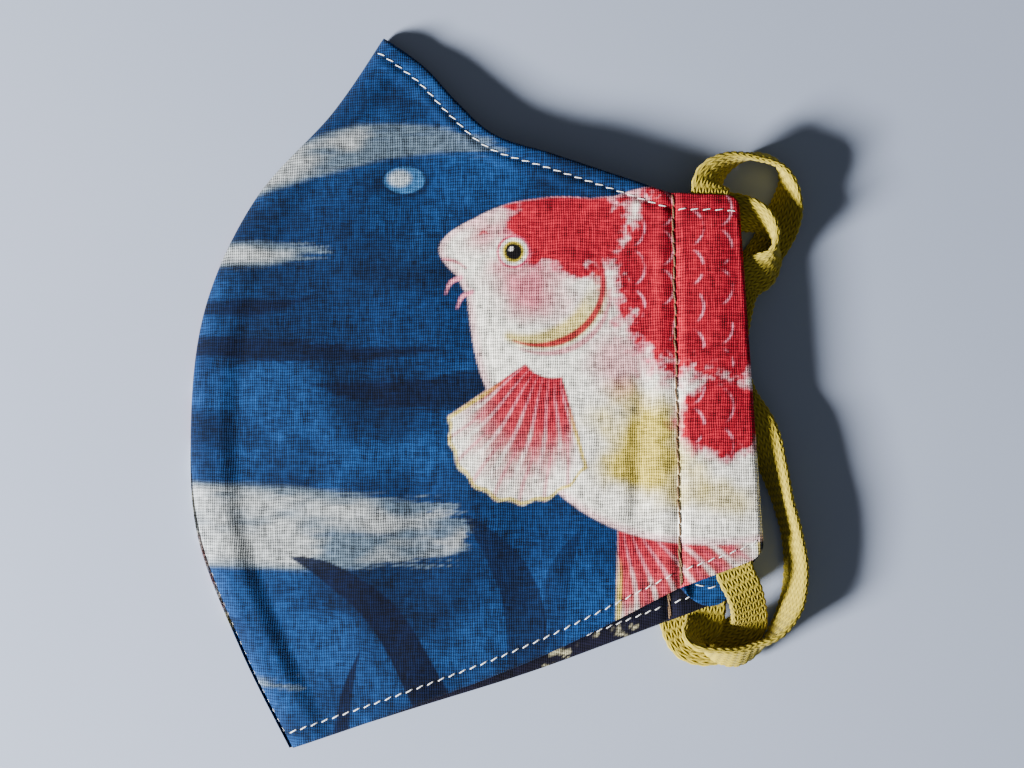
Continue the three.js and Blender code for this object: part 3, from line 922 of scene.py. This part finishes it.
def swell(half, side, a, u):
    """How far a half's face stands over its plain layers: hems, seam allowance and stitching."""
    if side < 0:
        return 0 * a
    rise = 0.3 * bell(np.minimum(1 - a, 0.2) * ACROSS - 3.2, 1.6)
    for distance in to_edges(a, u):
        rise = rise + 0.24 * ramp(distance, 7.0, 5.0) - 0.34 * bell(distance - STITCH_INSET, 0.75)
    for row in HEM_ROWS[half.name].values():
        rise = rise - 0.14 * row.holes(a, u)
    if half is RIGHT:
        return 0.4 * rise
    y = plan(a, u)[..., 1]
    strong = 0.4 + 0.6 * ramp(y, 22, -14) * ramp(y, -72, -58)
    allowance = 1.5 * strong * ramp(a * ACROSS, 11, 6)
    pucker = 0.3 * (cloudy(y / 3.4, a * 12, 131, 2) - 0.5) * ramp(a * ACROSS, 12, 2)
    return rise + allowance + pucker


HEM_ROWS = {
    half.name: {"upper": HemRow(half, True), "lower": HemRow(half, False)} for half in (RIGHT, LEFT)
}


def face_height(half, side, a, u):
    """The height of a half's upper face, where side is 1, or its under face, where it is -1."""
    middle = half.middle(a) + slack(half, a, u)
    face = side * (STACK / 2 + swell(half, side, a, u))
    for distance in to_edges(a, u):
        face = face * (0.15 + 0.85 * rolled(distance, 1.1))
    face = face * (1 - 0.45 * bell((1 - a) * ACROSS + 0.2, 1.1))
    from_seam = rolled(np.clip(a, 0, 1) * ACROSS, 4.2 if half is LEFT else 1.0)
    return SEAM_PLANE + (middle + face - SEAM_PLANE) * from_seam


def place(half, a, u, z):
    xy = plan(a, u) + half.shift * (np.minimum(a, 1) ** 1.7)[..., None]
    if half is RIGHT:
        xy[..., 0] -= SEAM_PEEK * ramp(xy[..., 1], -8, -34) * (1 - np.minimum(a, 1)) ** 12
    return np.concatenate([xy, z[..., None]], -1)


def spaced(length, step):
    """Distances along a length at about equal steps, closer together near both ends."""
    near_end = np.array([0.0, 0.12, 0.3, 0.55, 0.85, 1.2])
    middle = np.linspace(1.6, length - 1.6, int((length - 3.2) / step))
    return np.concatenate([near_end, middle, length - near_end[::-1]])


EDGE_BEYOND = 0.35  # how far the cloth runs on under the channel's stitching


def panel(half, layer, side, step, paint, material, mirror=False):
    """One layer of a half, as a closed sheet. Its other face lies along the middle of the half."""
    first = 0.6 if layer == "lining" else 0.0
    across = first + spaced(ACROSS + EDGE_BEYOND - first, step)
    a, u = np.meshgrid(across / ACROSS, spaced(PANEL_TALL, step) / PANEL_TALL, indexing="ij")
    face = face_height(half, side, a, u)
    inner = half.middle(a) + slack(half, a, u) + side * GAP / 2
    inner = SEAM_PLANE + (inner - SEAM_PLANE) * rolled(np.clip(a, 0, 1) * ACROSS, 2.2)
    inner = np.minimum(inner, face - 0.05) if side > 0 else np.maximum(inner, face + 0.05)
    top, bottom = (face, inner) if side > 0 else (inner, face)
    verts, faces = shell(place(half, a, u, top), place(half, a, u, bottom))
    xy = plan(a, u).reshape(-1, 2)
    colours = paint(-xy[:, 0] if mirror else xy[:, 0], xy[:, 1])
    holes = sum(row.holes(a, u) for row in HEM_ROWS[half.name].values()).reshape(-1, 1)
    # Painted shade: the cloth is darkened at the topstitching's needle holes.
    colours = colours * (1 - 0.35 * np.clip(holes, 0, 1))
    uv, colours = np.tile(xy, (2, 1)), np.tile(colours, (2, 1))
    obj = make_mesh(f"{half.name}_{layer}_cloth", verts, faces, uv, material, colours)
    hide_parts(f"{half.name}_{layer}_panel")
    return obj


def fold_with_left(obj):
    """Bakes the transform of a piece of the left half into its mesh."""
    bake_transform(obj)


FINE, COARSE = ((0.36, 0.8))
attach(panel(RIGHT, "outer", -1, COARSE, printed, PRINTED, mirror=True), "right_half")
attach(panel(RIGHT, "lining", 1, COARSE, printed_lining, LINING), "right_half")
fold_with_left(panel(LEFT, "lining", -1, COARSE, printed_lining, LINING))
fold_with_left(panel(LEFT, "outer", 1, FINE, printed, PRINTED))

# ---- ear channels

WALL = 0.45
CHANNEL_LENGTH = 80.6
FLARE = 2.8  # how far from its seam the tube reaches its full height
CORNER = 3.0  # radius of its outer corners in plan
PINCH = 0.36  # half the tube's height at its seam


def channel_section(count, inset):
    """Round the channel's flattened tube from its seam: across it and over its middle."""
    half = CHANNEL_HEIGHT / 2 - inset
    fold = CHANNEL_WIDTH - CHANNEL_HEIGHT / 2
    start = inset * 1.3
    pinch = max(0.05, PINCH - inset)
    flare = [
        (start + t * FLARE, pinch + (half - pinch) * float(smooth(t)))
        for t in np.linspace(0, 1, 14)
    ]
    lower = [(across, -over) for across, over in flare]
    bend = [(fold + half * math.sin(t), -half * math.cos(t)) for t in np.linspace(0, math.pi, 16)]
    line = Line(lower + bend + flare[::-1])
    return line.at(np.linspace(0, 1, count))


def in_channel(half, across, over, down):
    """The place of points given across the channel, over its level and down its length."""
    share = across / CHANNEL_WIDTH
    turn = np.clip((across - CHANNEL_WIDTH + CORNER) / CORNER, 0, 1)
    corner = CORNER * (1 - np.sqrt(1 - 0.98 * turn**2)) / CHANNEL_LENGTH
    bulge = np.sin(np.pi * np.clip(share / 0.92, 0, 1))
    hang = half.lip * bulge * ramp(over, 0.2, -0.6) * np.clip(2 * down - 1, 0, 1)
    down = (0.5 + (down - 0.5) * (1 - 2 * corner))[..., None]
    share = share[..., None]
    top = np.array(CHANNEL_TOP) + (np.array(CHANNEL_TOP_OUTER) - CHANNEL_TOP) * share
    bottom = np.array(CHANNEL_BOTTOM) + (np.array(CHANNEL_BOTTOM_OUTER) - CHANNEL_BOTTOM) * share
    xy = top + (bottom - top) * down + half.shift
    return np.stack([xy[..., 0], xy[..., 1] - hang, half.level + over], -1)


def channel_swell(across, over, down):
    """How far the tube stands over its plain section: hems, stitching and soft creases."""
    upper, lower = down * CHANNEL_LENGTH, (1 - down) * CHANNEL_LENGTH
    rise = 0
    for distance in (upper, lower):
        rise = rise + 0.16 * ramp(distance, 7.0, 5.0) - 0.3 * bell(distance - STITCH_INSET, 0.75)
    rise = rise - 0.5 * ramp(upper, 3.6, 0.0) - 0.22 * ramp(lower, 1.4, 0.0)
    soft = (cloudy(across / 8, down * 7, 151, 2) - 0.5) * 0.6
    soft = soft * ramp(down, 0, 0.1) * ramp(down, 1, 0.9)
    body = ramp(across, 0.6, 4) * ramp(across, CHANNEL_WIDTH, CHANNEL_WIDTH - 2)
    sloped = 0.3 * np.maximum(over, 0) * ramp(across, CHANNEL_WIDTH - 7.5, CHANNEL_WIDTH - 1)
    return (rise + soft) * body * ramp(over, 0.1, 0.9) - sloped


def channel(half):
    """The ear channel: a flat tube, print and lining on its two faces and plain water inside."""
    count, steps = ((120, 220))
    down = np.concatenate([
        [0, 0.0015, 0.004, 0.008], np.linspace(0.013, 0.987, steps), [0.992, 0.996, 0.9985, 1],
    ])
    layers = []
    for inset in (0.0, WALL):
        section = channel_section(count, inset).T
        across, over = (np.broadcast_to(c, (len(down), count)) for c in section)
        d = np.broadcast_to(down[:, None], across.shape)
        rounded = 1 - rolled(np.minimum(d, 1 - d) * CHANNEL_LENGTH, 0.6)
        lip = WALL / 2 * rounded * (-1 if inset else 1)
        over = over * (1 - lip / (CHANNEL_HEIGHT / 2)) + channel_swell(across, over, d)
        layers.append(in_channel(half, across, over, d))
    outer, inner = layers
    points = np.concatenate([outer, inner[:, ::-1]], 1)
    columns, rows = points.shape[:2]
    i, j = np.meshgrid(np.arange(columns - 1), np.arange(rows), indexing="ij")
    k, turn = i * rows + j, i * rows + (j + 1) % rows
    walls = np.stack([k, k + rows, turn + rows, turn], -1).reshape(-1, 4)
    j = np.arange(count - 1)
    rim = np.stack([j, j + 1, rows - 2 - j, rows - 1 - j], -1)
    faces = np.concatenate([walls, rim, rim[:, ::-1] + (columns - 1) * rows])
    x = points[..., 0].ravel() - half.shift[0]
    y = points[..., 1].ravel() - half.shift[1]
    upper = points[..., 2].ravel() > half.level
    outside = np.tile(np.arange(rows) < count, columns)
    inside_out = 2 * CHANNEL_BOTTOM_OUTER[0] - x
    uv = np.stack([np.where(upper, x, inside_out), y], -1)
    face_out, face_in = (printed, printed_lining) if half is LEFT else (printed_lining, printed)
    under_x = inside_out if half is LEFT else -x
    colours = np.where(upper[:, None], face_out(x, y), face_in(under_x, y))
    hidden = Canvas(x, y, WATER)
    paint_water(hidden)
    colours = np.where(outside[:, None], colours, hidden.colour)
    name = f"{half.name}_channel_cloth"
    obj = make_mesh(name, points.reshape(-1, 3), faces, uv, PRINTED, colours)
    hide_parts(f"{half.name}_ear_channel")
    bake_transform(obj)
    return obj


channel(RIGHT)
channel(LEFT)

# ---- threads


TOPSTITCH = {"length": 1.85, "radius": 0.125, "lean": 0.18}
SEAM_STITCH = {"length": 2.75, "radius": 0.2, "lean": 0.12}


def stitches(name, rows, material, node, length, radius, lean=0.0):
    """Separate stitches along rows, each sunk into the cloth at both ends.

    A row is a function from shares of its length to points, its length and its number of stitches.
    """
    verts, faces, uv = [], [], []
    around, steps = 8, 7
    t = np.linspace(-1, 1, steps)
    angle = np.arange(around) * 2 * math.pi / around
    for point_at, row_length, count in rows:
        for k in range(count):
            along = (k + 0.5) * row_length / count + t * length / 2
            middle = point_at(np.clip(along / row_length, 0, 1))
            ahead = middle[-1] - middle[0]
            ahead /= np.linalg.norm(ahead)
            side = np.cross((0, 0, 1), ahead)
            side /= np.linalg.norm(side)
            up = np.cross(ahead, side)
            middle = middle + side * (lean * t)[:, None]
            middle[:, 2] += radius * (0.8 - 1.9 * t**6)
            thick = radius * (1 - 0.3 * t**4)
            ring = side * np.cos(angle)[None, :, None] + up * np.sin(angle)[None, :, None]
            v, f = tube(middle[:, None] + ring * thick[:, None, None])
            start = len(verts) * around * steps
            verts.append(v)
            faces += [tuple(i + start for i in face) for face in f]
            cloth = np.broadcast_arrays(along[:, None], angle[None] * radius)
            uv.append(np.stack(cloth, -1).reshape(-1, 2))
    obj = make_mesh(name, np.concatenate(verts), faces, np.concatenate(uv), material)
    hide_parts(node)
    return obj


def row_along(points, pitch):
    line = Line(points)
    return line.at, line.length, max(1, int(line.length / pitch))


def hem_row(row):
    def point_at(share):
        a = row.at(share)
        u = row.up(a)
        return place(row.half, a, u, face_height(row.half, 1, a, u))

    return point_at, row.plan.length, row.count


def topstitching(half):
    """The two rows along a half's upper and lower edges, on the face that looks up."""
    for edge, row in HEM_ROWS[half.name].items():
        node = f"{half.name}_{edge}_topstitch"
        obj = stitches(f"{node}_row", [hem_row(row)], WHITE_THREAD, node, **TOPSTITCH)
        if half is LEFT:
            fold_with_left(obj)
        else:
            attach(obj, "right_half")


def channel_top(half, across, down):
    """Points on the channel's upper face."""
    section = channel_section(600, 0.0)[300:]
    over = np.interp(-across, -section[:, 0], section[:, 1])
    return in_channel(half, across, over + channel_swell(across, over, down), down)


def channel_stitching(half):
    body = f"{half.name}_channel"
    inset = STITCH_INSET / CHANNEL_LENGTH
    across = np.linspace(1.2, CHANNEL_WIDTH - 1.0, 120)
    for edge, down in (("upper", inset), ("lower", 1 - inset)):
        rows = [row_along(channel_top(half, across, np.full_like(across, down)), STITCH_PITCH)]
        if edge == "lower" and half is LEFT:
            under = np.full_like(across, WALL - CHANNEL_HEIGHT / 2)
            inside = in_channel(half, across, under, np.full_like(across, down))
            rows.append(row_along(inside, STITCH_PITCH))
        node = f"{half.name}_channel_{edge}_stitch"
        obj = stitches(f"{node}_row", rows, WHITE_THREAD, node, **TOPSTITCH)
        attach(obj, body)
    seam = []
    for share, sideways in ((0.996, 0.0), (0.12, 0.22)):
        down = np.linspace(1 - share, 0.996, 200)
        across = 0.25 + sideways + 0.14 * np.sin(down * 47)
        seam.append(row_along(in_channel(half, across, PINCH + 0.12 + 0 * down, down), 2.5))
    node = f"{half.name}_channel_seam_stitch"
    obj = stitches(f"{node}_row", seam, BROWN_THREAD, node, **SEAM_STITCH)
    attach(obj, f"{half.name}_half")


for half in (RIGHT, LEFT):
    topstitching(half)
    channel_stitching(half)


def seam_threads():
    """The thread that shows in the outer centre seam, and the row that closes the linings."""
    u = np.linspace(0.02, 0.98, 700)
    points = place(RIGHT, 0 * u, u, 0 * u + SEAM_PLANE - 0.1)
    points[:, 0] += 0.85
    rows = [row_along(points, 2.2)]
    node = "outer_centre_seam_thread"
    obj = stitches("outer_centre_seam_row", rows, WHITE_THREAD, node, length=1.2, radius=0.16)
    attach(obj, "right_half")
    u = np.linspace(0.06, 0.94, 600)
    a = 0 * u + 0.073
    rows = [row_along(place(RIGHT, a, u, face_height(RIGHT, 1, a, u)), STITCH_PITCH)]
    node = "lining_centre_seam_thread"
    obj = stitches("lining_centre_seam_row", rows, WHITE_THREAD, node, length=1.6, radius=0.2)
    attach(obj, "right_half")


seam_threads()

# ---- floor


FLOOR_TINTS = ((150, 162, 186), (162, 172, 194))


def pale_floor():
    bpy.ops.mesh.primitive_plane_add(size=2.4, location=(0, 0, -0.0001))
    floor = bpy.context.object
    floor.name = "floor"
    s = Shader("pale_floor", roughness=0.6, sheen=0.0, gloss=0.2)
    where = s.node("ShaderNodeTexCoord").outputs["Object"]
    s.colour(s.mix(s.noise(where, 9.0, 4.0), *map(solid, FLOOR_TINTS)))
    floor.data.materials.append(s.material)


pale_floor()
